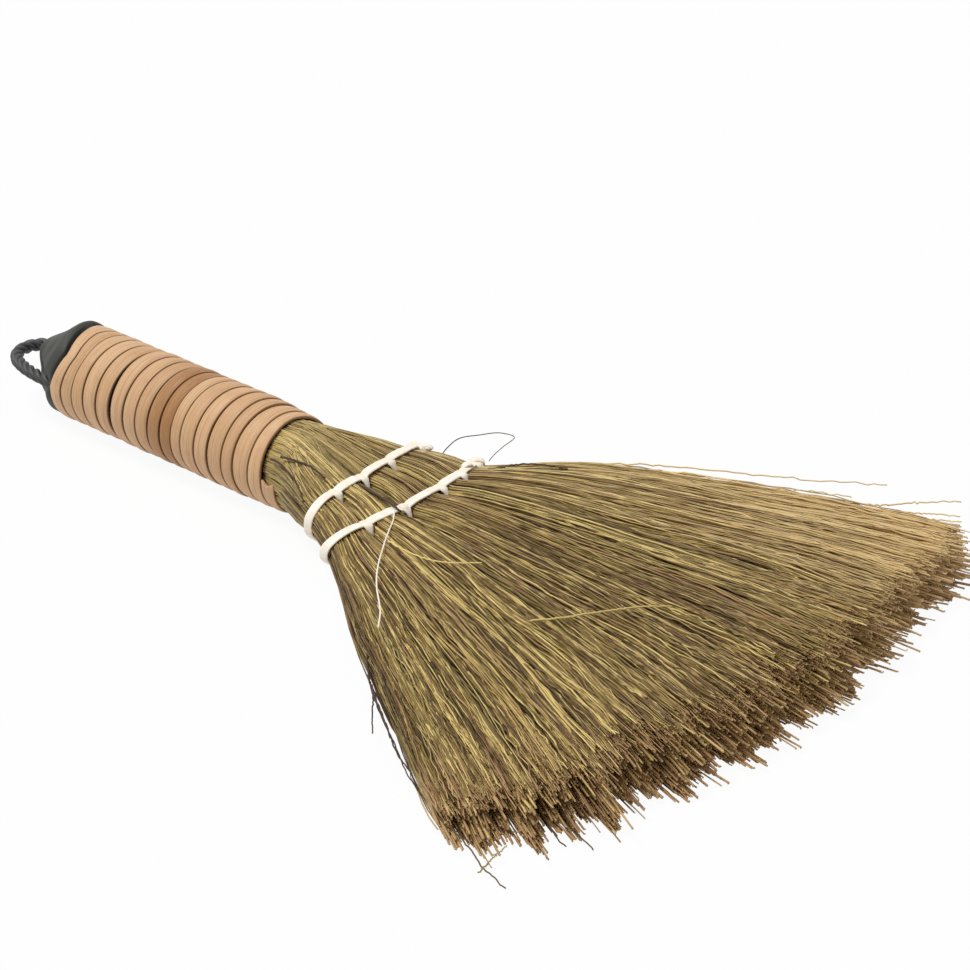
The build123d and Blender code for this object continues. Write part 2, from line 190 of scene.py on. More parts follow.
class NodeTree:
    """A tree of nodes that is written in Python sums."""

    def __init__(self, tree):
        self.tree = tree

    def feed(self, sockets, node):
        """Sets or links a node's inputs."""
        for key, value in sockets.items():
            if isinstance(value, Value):
                self.tree.links.new(value.socket, node.inputs[key])
            else:
                node.inputs[key].default_value = value

    def node(self, kind, settings=None, sockets=None, output=0):
        """Adds any node: its settings first, then what feeds it."""
        made = self.tree.nodes.new(kind)
        for key, value in (settings or {}).items():
            setattr(made, key, value)
        self.feed(sockets or {}, made)
        return Value(self, made.outputs[output])

    def seen(self):
        """Gives 1 for rays from the camera, straight, mirrored or through glass, or else 0."""
        kinds = ("Camera", "Glossy", "Transmission")
        straight, mirrored, through = (
            self.node("ShaderNodeLightPath", output=f"Is {kind} Ray") for kind in kinds
        )
        return (straight + mirrored + through).clamped()


class Surface(NodeTree):
    """A material that is written in Python sums."""

    def __init__(self, name, roughness=0.5):
        self.material = bpy.data.materials.new(name)
        self.material.use_nodes = True
        super().__init__(self.material.node_tree)
        self.shader = self.tree.nodes["Principled BSDF"]
        self.feed({"Roughness": roughness}, self.shader)

    def mix(self, share, first, second):
        """Mixes two colours."""
        sockets = {0: share, 6: first, 7: second}
        return self.node("ShaderNodeMix", {"data_type": "RGBA"}, sockets, 2)

    def cover(self, colour, layers):
        """Mixes more colours over a first one, each by its own share."""
        for share, shade in layers.values():
            colour = self.mix(share, colour, paint(*shade))
        return colour

    def ramp(self, value, low, high):
        """Gives 0 below one value and 1 above another, and a smooth rise between."""
        settings = {"interpolation_type": "SMOOTHSTEP", "clamp": True}
        sockets = {"Value": value, "From Min": low, "From Max": high}
        return self.node("ShaderNodeMapRange", settings, sockets)

    def place(self, scale=(1.0, 1.0, 1.0)):
        """Gives the point on the object, stretched along each axis."""
        spot = self.node("ShaderNodeTexCoord", output="Object")
        return self.node("ShaderNodeMapping", None, {"Vector": spot, "Scale": scale})

    def carried(self, name):
        """Gives a value that the mesh itself carries."""
        return self.node("ShaderNodeAttribute", {"attribute_name": name}, output="Fac")

    def noise(self, place, scale, detail=2.0, roughness=0.5):
        """Gives soft random spots from about 0.3 to 0.7."""
        sockets = {"Vector": place, "Scale": scale, "Detail": detail, "Roughness": roughness}
        return self.node("ShaderNodeTexNoise", None, sockets)

    def finish(self, colour, roughness=None, height=None, depth=0.0):
        """Sends the colour, and the roughness and the relief if given, to the shader."""
        self.feed({"Base Color": colour}, self.shader)
        if roughness is not None:
            self.feed({"Roughness": roughness}, self.shader)
        if height is not None:
            relief = self.node("ShaderNodeBump", None, {"Height": height, "Distance": depth})
            self.feed({"Normal": relief}, self.shader)
        return self.material


def wear(material, pieces):
    """Gives each piece its material."""
    for piece in pieces:
        piece.data.materials.append(material)


# %% [markdown]
# ## Sweeping a section along a line
# Cords, plies and stalks are all thin sections swept along a line. One helper puts a ring of
# points round each place of a line, for many lines at once, and another joins the rings with
# faces and closes both ends. Tables further on are in tenths or hundredths of a millimetre, and
# are divided down to metres where they are used.


# %% Helpers for points and meshes
tenths = 10000
hundredths = 100000


def unit(vectors):
    """Scales vectors to a length of one."""
    return vectors / np.linalg.norm(vectors, axis=-1, keepdims=True)


def climb(values, start, run):
    """Gives 0 up to a start, 1 past a run beyond it, and an even climb between."""
    return np.clip((values - start) / run, 0, 1)


def rings_along(lines, radii, sides, turn=0.0):
    """Puts a ring of points round each place of each line: lines is (lines, places, 3)."""
    heading = unit(np.gradient(lines, axis=1))
    sideways = unit(np.cross((0.0, 0.0, 1.0), heading))
    upward = np.cross(heading, sideways)
    angles = (turn + 2 * math.pi * np.arange(sides) / sides)[:, None]
    ring = sideways[:, :, None] * np.cos(angles) + upward[:, :, None] * np.sin(angles)
    return lines[:, :, None] + ring * radii[:, :, None, None]


def tube_faces(line_count, places, sides):
    """Lists the faces that join the rings of every line and close its two ends."""
    ring = np.arange(sides)
    after = (ring + 1) % sides
    lines = np.arange(line_count)[:, None] * places
    starts = (lines + np.arange(places - 1)).reshape(-1, 1) * sides
    beyond = starts + sides
    walls = np.stack([starts + ring, starts + after, beyond + after, beyond + ring], -1)
    first = lines * sides
    last = first + (places - 1) * sides
    return walls.reshape(-1, 4).tolist() + (first + ring[::-1]).tolist() + (last + ring).tolist()


def points_of(mesh):
    """Reads a mesh's points as three rows: x, y and z."""
    points = np.empty(len(mesh.vertices) * 3)
    mesh.vertices.foreach_get("co", points)
    return points.reshape(-1, 3).T


def carry(mesh, carried):
    """Lets a mesh's points carry values for its material."""
    for key, values in carried.items():
        layer = mesh.attributes.new(key, "FLOAT", "POINT")
        layer.data.foreach_set("value", np.ascontiguousarray(values, np.float32).ravel())


def mesh_piece(name, points, faces, carried):
    """Makes an object of points and faces, with the values that its points carry."""
    mesh = bpy.data.meshes.new(name)
    mesh.from_pydata(points.reshape(-1, 3).tolist(), [], faces)
    carry(mesh, carried)
    mesh.shade_smooth()
    piece = bpy.data.objects.new(name, mesh)
    bpy.context.scene.collection.objects.link(piece)
    return piece


# %% [markdown]
# ## The hanging loop and the loose thread
# The loop is one piece of black cord. Both its ends run under the first turns of the winding. The
# thread is a loose end of the sewing, which lies on the fan. Each follows a smooth spline through
# a few listed points, because a cord has no corners.


# %% A spline for each cord
def route_spline(name, points):
    """Makes one open, smooth curve whose control points are the route."""
    curve = bpy.data.curves.new(name, "CURVE")
    curve.dimensions = "3D"
    curve.resolution_u = 16
    spline = curve.splines.new("NURBS")
    spline.points.add(len(points) - 1)
    for control, place in zip(spline.points, points):
        control.co = (*place, 1.0)
    spline.order_u = 3
    spline.use_endpoint_u = True
    piece = bpy.data.objects.new(name, curve)
    bpy.context.scene.collection.objects.link(piece)
    return piece


def places_on(spline_object, step):
    """Reads the spline's own line, and spaces its points evenly."""
    mesh = bpy.data.meshes.new_from_object(spline_object)
    line = np.array([vertex.co for vertex in mesh.vertices])
    bpy.data.meshes.remove(mesh)
    runs = np.linalg.norm(np.diff(line, axis=0), axis=1)
    travelled = np.concatenate([[0.0], np.cumsum(runs)])
    stops = np.linspace(0.0, travelled[-1], round(travelled[-1] / step) + 1)
    return np.stack([np.interp(stops, travelled, line[:, axis]) for axis in range(3)], 1), stops


# %% Twist the hanging loop out of three plies
cord_diameter = 0.0046
ply_count, ply_sides = 3, 10
ply_radius = cord_diameter * 0.295
ply_offset = cord_diameter * 0.265
ply_unevenness, ply_wave, ply_shift = 0.07, 0.0031, 2.4
twist_length = 0.0128
loop_step = 0.0005
loop_half_route = (
    (-0.1366, -0.0144),
    (-0.1526, -0.0144),
    (-0.1686, -0.0146),
    (-0.1786, -0.0134),
    (-0.1887, -0.0098),
    (-0.1940, -0.0036),
)
near_half = [(x, y, axis_height) for x, y in loop_half_route]
far_half = [(x, -y, axis_height) for x, y in reversed(loop_half_route)]
loop_spline = route_spline("loop_route", near_half + far_half)
loop_line, loop_stops = places_on(loop_spline, loop_step)
bpy.data.objects.remove(loop_spline)

straight_up = np.array((0.0, 0.0, 1.0))
loop_side = np.cross(straight_up, unit(np.gradient(loop_line, axis=0)))
plies = []
for ply in range(ply_count):
    turn = (2 * math.pi * (loop_stops / twist_length + ply / ply_count))[:, None]
    plies.append(loop_line + (loop_side * np.cos(turn) + straight_up * np.sin(turn)) * ply_offset)
plies = np.array(plies)
ply_waves = np.sin(loop_stops / ply_wave + np.arange(ply_count)[:, None] * ply_shift)
loop_cord = mesh_piece(
    "loop_cord",
    rings_along(plies, ply_radius * (1 + ply_unevenness * ply_waves), ply_sides),
    tube_faces(ply_count, plies.shape[1], ply_sides),
    {"cord_along": np.repeat(np.tile(loop_stops, ply_count), ply_sides)},
)
print("loop cord", round(loop_stops[-1], 4), "m")

# %% Lay the loose thread on the fan
thread_diameter = 0.0006
thread_step = 0.001
thread_route = (
    (0.0212, -0.0120, 0.02435),
    (0.0257, -0.0164, 0.02435),
    (0.0292, -0.0218, 0.0241),
    (0.0335, -0.0283, 0.02395),
    (0.0387, -0.0352, 0.0239),
    (0.0446, -0.0430, 0.02415),
    (0.0516, -0.0511, 0.0246),
    (0.0595, -0.0589, 0.02525),
    (0.0661, -0.0643, 0.0249),
    (0.0716, -0.0690, 0.02445),
    (0.0768, -0.0756, 0.0238),
)
loose_thread = route_spline("loose_thread", thread_route)
thread_stops = places_on(loose_thread, thread_step)[1]
loose_thread.data.bevel_depth = thread_diameter / 2
loose_thread.data.bevel_resolution = 2
loose_thread.data.use_fill_caps = True
print("thread", round(thread_stops[-1], 4), "m")

# %% [markdown]
# ## The strip wound round the handle
# The real strip is split cane: flat, a little rounded at its edges, and never quite even. It is
# cut here as a long flat bar, its edges are eased by a bevel, and then each of its points is wound
# on. Winding by sums lets the turns differ in place, width and lift as they do on the real handle.

# %% How each turn differs from an even one
edge_shift_shares = (
    -0.07, -0.13, -0.16, -0.12, 0.02, 0.16, 0.15, 0.13, 0.13,
    0.03, -0.2, -0.13, -0.06, 0.04, -0.14, 0.04, 0.0,
)
edge_gap_shares = (
    0.06, 0.01, 0.07, 0.06, 0.24, 0.06, 0.02, 0.14, 0.07,
    0.01, 0.02, 0.03, 0.06, 0.04, 0.01, 0.03, 0.03,
)
edge_lift_shares = (
    0.1, 0.25, 0.1, 0.0, -0.1, 0.1, 0.25, -0.15, 0.1,
    0.2, 0.25, 0.1, 0.6, 0.1, 0.25, 0.1, 0.0,
)
turn_tones = (
    0.75, 0.54, 0.66, 0.8, 0.54, 0.72, 0.6, 0.5, 0.12,
    0.14, 0.74, 0.56, 0.7, 0.55, 0.55, 0.66, 0.78, 0.64,
)
first_edge = 0.35
gap_widest = 0.24
gap_reach = 0.17
gap_least, gap_rise = 0.5, 0.9
slant_turns = (
    0.0, 0.25, 0.38, 0.49, 0.57, 0.75, 1.25, 1.38, 1.5, 1.75, 2.25, 2.38, 2.5,
    16.3, 16.5, 17.0, 17.25, 17.5, 18.0, 18.25, 18.5,
)
slants = (
    0.0, 0.0005, 0.0046, 0.0010, -0.0024, 0.0, 0.0, 0.0028, 0.0, 0.0, 0.0, 0.0012, 0.0,
    0.0, -0.0010, -0.0008, 0.0, -0.0024, -0.0020, 0.0, -0.0024,
)
winding_puff = 0.0009
puff_turns = (-1.0, 0.0, 1.2, 14.0, 17.0, 19.0)
puff_shares = (0.6, 0.8, 1.0, 1.0, 0.1, 0.0)
crown_height = 0.42
strip_wanders = ((0.1, 2.3, 1.1), (0.06, 11.7, 0.0))
strip_sink = 0.85
ground_gap = 0.00005
steps_per_turn, steps_across = 56, 8
edge_easing = 0.32
notch_reach, notch_depth = 0.02, 0.9
strip_joint = 0.004


def along_turns(shares, turns):
    """Reads a table that has one value for each gap between turns, at any place on the strip."""
    return np.interp(turns, first_edge + np.arange(len(shares)), shares)


def edge_slant(edge_turns):
    """Gives how far the first and last turns' edges lean forward or back round the handle."""
    return np.interp(edge_turns, slant_turns, slants)


def wind(turns, across, depth):
    """Winds points of the flat strip onto the handle: across runs from -0.5 to 0.5."""
    even = winding_start + turn_pitch * turns
    opening = gap_least + gap_rise * np.exp(-((((turns % 1) - gap_widest) / gap_reach) ** 2))
    gap_before = along_turns(edge_gap_shares, turns - 1) / 2 * opening
    gap_after = along_turns(edge_gap_shares, turns) / 2 * opening
    rear_share = along_turns(edge_shift_shares, turns - 1) + gap_before - 0.5
    front_share = along_turns(edge_shift_shares, turns) - gap_after + 0.5
    rear_edge = turn_pitch * rear_share + edge_slant(turns)
    front_edge = turn_pitch * front_share + edge_slant(turns + 1)
    x = even + rear_edge * (0.5 - across) + front_edge * (0.5 + across)
    lift_share = along_turns(edge_lift_shares, turns)
    lift = strip_thickness * lift_share * np.clip(across + 0.5, 0, 1) ** 2
    crown = strip_thickness * crown_height * (1 - 4 * across * across)
    waves = sum(size * np.sin(rate * turns + phase) for size, rate, phase in strip_wanders)
    wander = strip_thickness * waves
    puff = winding_puff * np.interp(turns, puff_turns, puff_shares)
    bed = handle_radius + puff - strip_thickness * strip_sink
    radius = bed + depth + lift + crown + wander
    angle = -math.pi / 2 - 2 * math.pi * turns
    y = radius * np.cos(angle)
    z = np.maximum(axis_height + puff + radius * np.sin(angle), ground_gap)
    return np.stack([x, y, z], 1)


def flat_strip(name, first_turn, last_turn, notched):
    """Cuts one strip as a flat bar with eased edges and winds it on."""
    turn_count = last_turn - first_turn
    length = 2 * math.pi * handle_radius * turn_count
    bpy.ops.mesh.primitive_grid_add(
        x_subdivisions=round(steps_per_turn * turn_count), y_subdivisions=steps_across, size=1
    )
    strip = bpy.context.object
    strip.name = name
    strip.scale = (length, strip_width, 1)
    bpy.ops.object.transform_apply(location=False, rotation=False, scale=True)
    wall = strip.modifiers.new("wall", "SOLIDIFY")
    wall.thickness = strip_thickness
    wall.offset = 0
    easing = strip.modifiers.new("easing", "BEVEL")
    easing.width = strip_thickness * edge_easing
    easing.segments = 3
    for modifier in ("wall", "easing"):
        bpy.ops.object.modifier_apply(modifier=modifier)
    mesh = strip.data
    along, across, depth = points_of(mesh)
    across = across / strip_width
    turns = first_turn + turn_count * (along / length + 0.5)
    if notched:
        notch = np.clip(turns - last_turn + notch_reach, 0, 1)
        turns -= notch * (1.0 - np.abs(2 * across)) * notch_depth
    mesh.vertices.foreach_set("co", wind(turns, across, depth).ravel())
    carried = {
        "strip_along": turns * 2 * math.pi * handle_radius,
        "strip_across": across,
        "strip_tone": np.interp(turns - 0.5, np.arange(len(turn_tones)), turn_tones),
    }
    carry(mesh, carried)
    mesh.shade_smooth()
    bpy.ops.object.shade_smooth_by_angle(angle=math.radians(50))
    strip.select_set(False)
    return strip


# %% Wind the three strips on
winding = {}
wound = 0.0
for name, turn_count in (("rear", rear_turns), ("middle", middle_turns), ("front", front_turns)):
    first_turn = wound + (strip_joint if wound else 0.0)
    wound += turn_count
    strip = flat_strip("cane_" + name, first_turn, wound, name == "front")
    winding["wrap_strip_" + name] = strip
    print(strip.name, len(strip.data.polygons), "faces")

# %% [markdown]
# ## Pressing one form into another
# A ring or a ball has a closed, even skin. Bands, stitches and the cap are made from these: every
# point of the plain form is moved to its own place by sums, and the faces are then turned outwards.


# %% Helpers that press a plain form into another
def plain_ring(name, around, across):
    """Adds a torus, and gives its points' turn round it and their place in its section."""
    ring_share = 0.25
    bpy.ops.mesh.primitive_torus_add(
        major_segments=around, minor_segments=across, major_radius=1, minor_radius=ring_share
    )
    ring = bpy.context.object
    ring.name = name
    x, y, z = points_of(ring.data)
    return ring, np.arctan2(y, x), (np.hypot(x, y) - 1) / ring_share, z / ring_share


def press(ring, points):
    """Moves a ring's points to their new places and turns its faces outwards."""
    ring.data.vertices.foreach_set("co", points.ravel())
    bpy.ops.object.mode_set(mode="EDIT")
    bpy.ops.mesh.select_all(action="SELECT")
    bpy.ops.mesh.normals_make_consistent(inside=False)
    bpy.ops.object.mode_set(mode="OBJECT")
    bpy.ops.object.shade_smooth()
    ring.select_set(False)
    return ring


def squared(values, power):
    """Pushes a round section's points outwards, so that it gets flat sides."""
    return np.sign(values) * np.abs(values) ** power


# %% [markdown]
# ## The cap
# The cap is a thin black sleeve, drawn over the butts before the winding. It bulges behind the
# first turn and narrows to a flat end, with a groove on each side for the cord. A ball has the
# right closed skin for that, so one is pressed onto a listed profile: out along the sleeve,
# round its open rim, and back inside. Each row gives a place along the cap, half the width and
# half the height there, and how square the section is. The bulge leans with the first turn.

# %% Press a ball into the cap
cap_stub = 0.016
cap_edge = cap_low.x + cap_stub
cap_profile = (
    (-1840, 0, 0, 4.0),
    (-1830, 660, 800, 4.0),
    (-1790, 920, 1100, 4.0),
    (-1670, 990, 1200, 3.8),
    (-1460, 1060, 1290, 3.4),
    (-1240, 1190, 1410, 3.0),
    (-1060, 1340, 1530, 2.7),
    (-900, 1510, 1650, 2.4),
    (-720, 1680, 1770, 2.2),
    (-520, 1810, 1850, 2.1),
    (-360, 1860, 1880, 2.0),
    (-260, 1840, 1850, 2.0),
    (-180, 1740, 1740, 2.0),
    (-60, 1685, 1685, 2.0),
    (2000, 1685, 1685, 2.0),
    (4500, 1685, 1685, 2.0),
    (7000, 1685, 1685, 2.0),
    (7020, 1640, 1640, 2.0),
    (7000, 1590, 1590, 2.0),
    (3000, 1590, 1590, 2.0),
    (-500, 1580, 1580, 2.0),
    (-600, 1450, 1450, 2.0),
    (-610, 0, 0, 2.0),
)
sleeve_row = 14
bulge_start, bulge_run = 0.0004, 0.003
lean_start, lean_run = -0.0106, 0.008
cord_groove_depth = 0.0021
cord_groove_width = 0.0034
cord_groove_start, cord_groove_run = 0.008, 0.004
crease_depth, cap_half_width = 0.0002, 0.018


def pressed_cap():
    """Presses a ball onto the cap's profile."""
    bpy.ops.mesh.primitive_uv_sphere_add(segments=96, ring_count=88, radius=1)
    cap = bpy.context.object
    cap.name = "cap_skin"
    x, y, z = points_of(cap.data)
    around = np.arctan2(y, x)
    spot = np.arccos(np.clip(-z, -1, 1)) / math.pi * (len(cap_profile) - 1)
    whole = np.minimum(np.floor(spot).astype(int), len(cap_profile) - 2)
    part = (spot - whole)[:, None]
    profile = np.array(cap_profile) / (hundredths, hundredths, hundredths, 1)
    runs, wide, high, flatness = (profile[whole] * (1 - part) + profile[whole + 1] * part).T
    outside = climb(-runs, bulge_start, bulge_run) * (spot < sleeve_row)
    lean = edge_slant(np.clip((-math.pi / 2 - around) / (2 * math.pi) % 1, 0, 0.75))
    runs = runs + lean * climb(runs, lean_start, lean_run) * np.clip(sleeve_row - spot, 0, 1)
    across = wide * squared(np.cos(around), 2 / flatness)
    up = high * squared(np.sin(around), 2 / flatness)
    hollow = cord_groove_depth * np.exp(-((up / cord_groove_width) ** 2)) * outside
    across -= np.sign(across) * hollow * climb(np.abs(across), cord_groove_start, cord_groove_run)
    crease = crease_depth * np.sin(7 * around + 900 * runs) * outside
    across = across * (1 + crease / cap_half_width)
    middle = axis_height + np.clip(high - axis_height, 0, 1)
    height = np.maximum(middle + up, ground_gap)
    return press(cap, np.stack([cap_edge + runs, across, height], 1))


cap_skin = pressed_cap()
print(cap_skin.name, len(cap_skin.data.polygons), "faces")

# %% [markdown]
# ## The stalks
# The head is what the eye goes to: thousands of thin stalks, each a little kinked. They start in
# the round of the handle's mouth, are pressed flat by the rows, swell between the stitches, and
# spread into the fan. A guide gives the place of any stalk from two shares: how far across the
# head it lies, and how high in it. Each stalk then wanders a little from its guide by itself.
# They are placed with sums on whole arrays, because so many pieces are past modelling by hand.

# %% The guide that all stalks follow
rng = np.random.default_rng(12)
mouth_round = 0.0169
mouth_rise = 0.0002
inside_mouth = 0.010
inside_width, inside_height = 0.90, 0.96
edge_pull, least_pull = 0.0014, 0.05
pulled_share = 0.975
row_filling = 0.97
mouth_puff, rows_puff = 0.0006, 0.0013
mouth_grooving, rows_grooving = 0.3, 0.8
groove_depths = {
    "first_row": (0.0, 0.32, 0.60, 0.34, 0.0, 0.30, 0.0),
    "second_row": (0.0, 0.32, 0.62, 0.34, 0.30, 0.26, 0.0),
}
fan_travels = (0.07, 0.2, 0.4, 0.68, 1.0)
fan_middle_tops = (0.0252, 0.0258, 0.0254, 0.0247, 0.0240)
fan_far_tops = (0.0240, 0.0262, 0.0256, 0.0214, 0.0155)
fan_near_tops = (0.0190, 0.0200, 0.0195, 0.0165, 0.0105)
fan_lows = (0.0058, 0.0042, 0.0022, 0.0010, 0.0006)
fan_fullness = (3.6, 5.5, 7.0, 7.0, 7.0)
rim_angles = (
    -33.4, -30.0, -27.0, -22.0, -18.0, -14.0, -9.0, -4.0, 1.0, 5.0, 10.0, 16.0, 21.0, 26.0, 33.4,
)
rim_reaches = (
    -0.006, -0.003, 0.001, -0.0005, -0.003, -0.0055, -0.007, -0.0065,
    -0.0085, -0.010, -0.011, -0.0095, -0.0105, -0.006, -0.0045,
)
near_edge_start, near_edge_run = 0.6, 0.4
near_edge_draw = 0.036
near_edge_bow = 0.0028
edge_looseness = 0.03
recede_shares = (-1.0, -0.4, 0.0, 0.5, 1.0)
recedes = (0.0075, 0.0065, 0.0030, 0.0, -0.0015)


def clump_of(share):
    """Tells which clump a share belongs to, and its place in that clump from -1 to 1."""
    edges = np.array(clump_edge_shares)
    clump = np.clip(np.searchsorted(edges, share, side="right") - 1, 0, len(edges) - 2)
    low, high = edges[clump], edges[clump + 1]
    return clump, np.clip((2 * share - low - high) / (high - low), -1, 1)


def oval(share, fullness=row_fullness):
    """Gives the head's half height at a share across it, as a share of the middle's."""
    return (1 - np.abs(share) ** fullness).clip(0) ** (1 / fullness)


def groove(row, share, weight=1.0):
    """Gives how much lower the stalks lie near a stitch, where the clumps are drawn apart."""
    clump, off = clump_of(share)
    depths = np.array(groove_depths[row])
    return 1 - weight * np.where(off < 0, depths[clump], depths[clump + 1]) * off ** 4


def row_lines(row, share, level):
    """Gives where stalks cross a row: their places, the row's middle height and half height."""
    half_width, half_height, middle_y, middle_z = row_sizes(row)
    off = clump_of(share)[1]
    pull = edge_pull * (least_pull + (1 - least_pull) * (2 * level - 1) ** 2)
    y = middle_y + half_width * share * pulled_share - pull * off ** 5
    middle_z = middle_z + row_tilts[row] * (y - middle_y)
    return row_place(row, y), y, middle_z, half_height * row_filling * oval(share)


def guide_places(share, level, swerve, drift):
    """Gives each stalk's places at the stations from the mouth to the tips."""
    rise = 2 * level - 1
    stations = []

    def station(x, y, middle, half_height):
        stations.append(np.stack([x + 0 * share, y, middle + half_height * rise], 1))

    mouth_share = np.clip(share + swerve, -0.99, 0.99)
    mouth_y, round_height = mouth_round * mouth_share, mouth_round * oval(mouth_share, 2.0)
    inside_y, inside_high = mouth_y * inside_width, round_height * inside_height
    station(mouth_x - inside_mouth, inside_y, axis_height, inside_high)
    station(mouth_x, mouth_y, axis_height + mouth_rise, round_height)
    first_x, first_y, first_mid, first_high = row_lines("first_row", share, level)
    half_way = (mouth_round * (share + swerve / 2) + first_y) / 2
    puff = (round_height + first_high) / 2 + mouth_puff * oval(share)
    puff = puff * groove("first_row", share, mouth_grooving)
    station((mouth_x + first_x) / 2, half_way, (axis_height + first_mid) / 2, puff)
    station(first_x, first_y, first_mid, first_high * groove("first_row", share))
    second_x, second_y, second_mid, second_high = row_lines("second_row", share, level)
    puff = (first_high + second_high) / 2 + rows_puff * oval(share)
    dips = [groove(row, share, rows_grooving) for row in ("first_row", "second_row")]
    middle_x, middle_y = (first_x + second_x) / 2, (first_y + second_y) / 2
    station(middle_x, middle_y, (first_mid + second_mid) / 2, puff * ((dips[0] + dips[1]) / 2))
    station(second_x, second_y, second_mid, second_high * groove("second_row", share))

    near_edge = climb(-share, near_edge_start, near_edge_run)
    loose_edge = edge_looseness * rng.random(len(share)) ** 6
    angle = fan_half_angle * np.clip(share + drift, -1 - loose_edge, 1.005 + loose_edge)
    angle = angle * (1 - near_edge_draw * near_edge)
    reach = fan_radius + np.interp(np.degrees(angle), rim_angles, rim_reaches)
    tip_x = fan_centre_x + reach * np.cos(angle)
    tip_y = reach * np.sin(angle)
    sideness = np.abs(share) ** 2.5
    for number, travel in enumerate(fan_travels):
        side_top = np.where(share < 0, fan_near_tops[number], fan_far_tops[number])
        top = fan_middle_tops[number] + (side_top - fan_middle_tops[number]) * sideness
        low = fan_lows[number]
        fading = groove("second_row", share, (1 - travel) ** 5)
        half_height = (top - low) / 2 * oval(share, fan_fullness[number]) * fading
        x = second_x + (tip_x - second_x) * travel
        y = second_y + (tip_y - second_y) * travel
        y = y - near_edge_bow * near_edge * math.sin(math.pi * travel)
        station(x, y, (top + low) / 2, half_height)
    return np.stack(stations, 1)


def along_guide(places, travel):
    """Reads smooth places between the stations: travel runs from 0 to 1 for each stalk."""
    runs = np.linalg.norm(np.diff(places, axis=1), axis=2).mean(0)
    marks = np.concatenate([[0.0], np.cumsum(runs)])
    slopes = np.gradient(places, marks, axis=1)
    distance = travel * marks[-1]
    whole = np.clip(np.searchsorted(marks, distance, side="right") - 1, 0, len(marks) - 2)
    span = (marks[1:] - marks[:-1])[whole][..., None]
    part = ((distance - marks[whole]) / span[..., 0])[..., None]
    here, there = whole[..., None], whole[..., None] + 1
    start, end = (np.take_along_axis(places, spots, 1) for spots in (here, there))
    leave, arrive = (np.take_along_axis(slopes, spots, 1) for spots in (here, there))
    square, cube = part ** 2, part ** 3
    return (
        (2 * cube - 3 * square + 1) * start
        + (cube - 2 * square + part) * span * leave
        + (3 * square - 2 * cube) * end
        + (cube - square) * span * arrive
    )


# %% [markdown]
# A stalk is rarely straight. Each gets a slow bow and a few small kinks, like those at the joints
# of real grass. Stalks also hold together in locks, with dark slits between, and each lock ends at
# its own length. Some start deep in the head and come up to the surface only past the rows,
# because the fan is far wider than the handle and fills up with side shoots.


# %% Share the stalks out in locks
lock_count = 58
lock_variety = 0.6
lift_spread, trim_spread = 0.0007, 0.0028
drift_spread, meander_spread = 0.006, 0.0008
lock_widths = rng.lognormal(0, lock_variety, lock_count)
lock_edges = np.concatenate([[0.0], np.cumsum(lock_widths)]) / lock_widths.sum() * 2 - 1
lock_lifts = rng.normal(0, lift_spread, lock_count)
lock_trims = rng.normal(0, trim_spread, lock_count)
lock_drifts = rng.normal(0, drift_spread, lock_count)
lock_meanders = rng.normal(0, meander_spread, lock_count)
lock_waves = rng.uniform(1.2, 3.2, (2, lock_count))


def lock_of(share):
    """Tells a share's lock, its place in that lock from -1 to 1, and half the lock's width."""
    lock = np.clip(np.searchsorted(lock_edges, share, side="right") - 1, 0, lock_count - 1)
    low, high = lock_edges[lock], lock_edges[lock + 1]
    return lock, (2 * share - low - high) / (high - low), (high - low) / 2


# %% Grow a batch of stalks
crossing_share = 0.22
crossing_swerve, lock_swerve = 0.20, 0.07
crossing_drift, lock_drift = 0.020, 0.004
crossing_sink = (-0.0009, 0.0014)
tip_gathering, row_gathering = 0.26, 0.24
lock_raise, lock_fall = 0.0005, 0.0030
surface_trims, inner_trims = 0.0022, 0.0036
lower_teeth = ((0.0020, 61, 1.0), (0.0018, 143, 2.2))
lower_draw = 0.0009
ragged_reach = (0.001, 0.009)
sprout_depth = 0.0030
bow_spread = 0.0009
least_loose = 0.42
cut_length = 0.0005


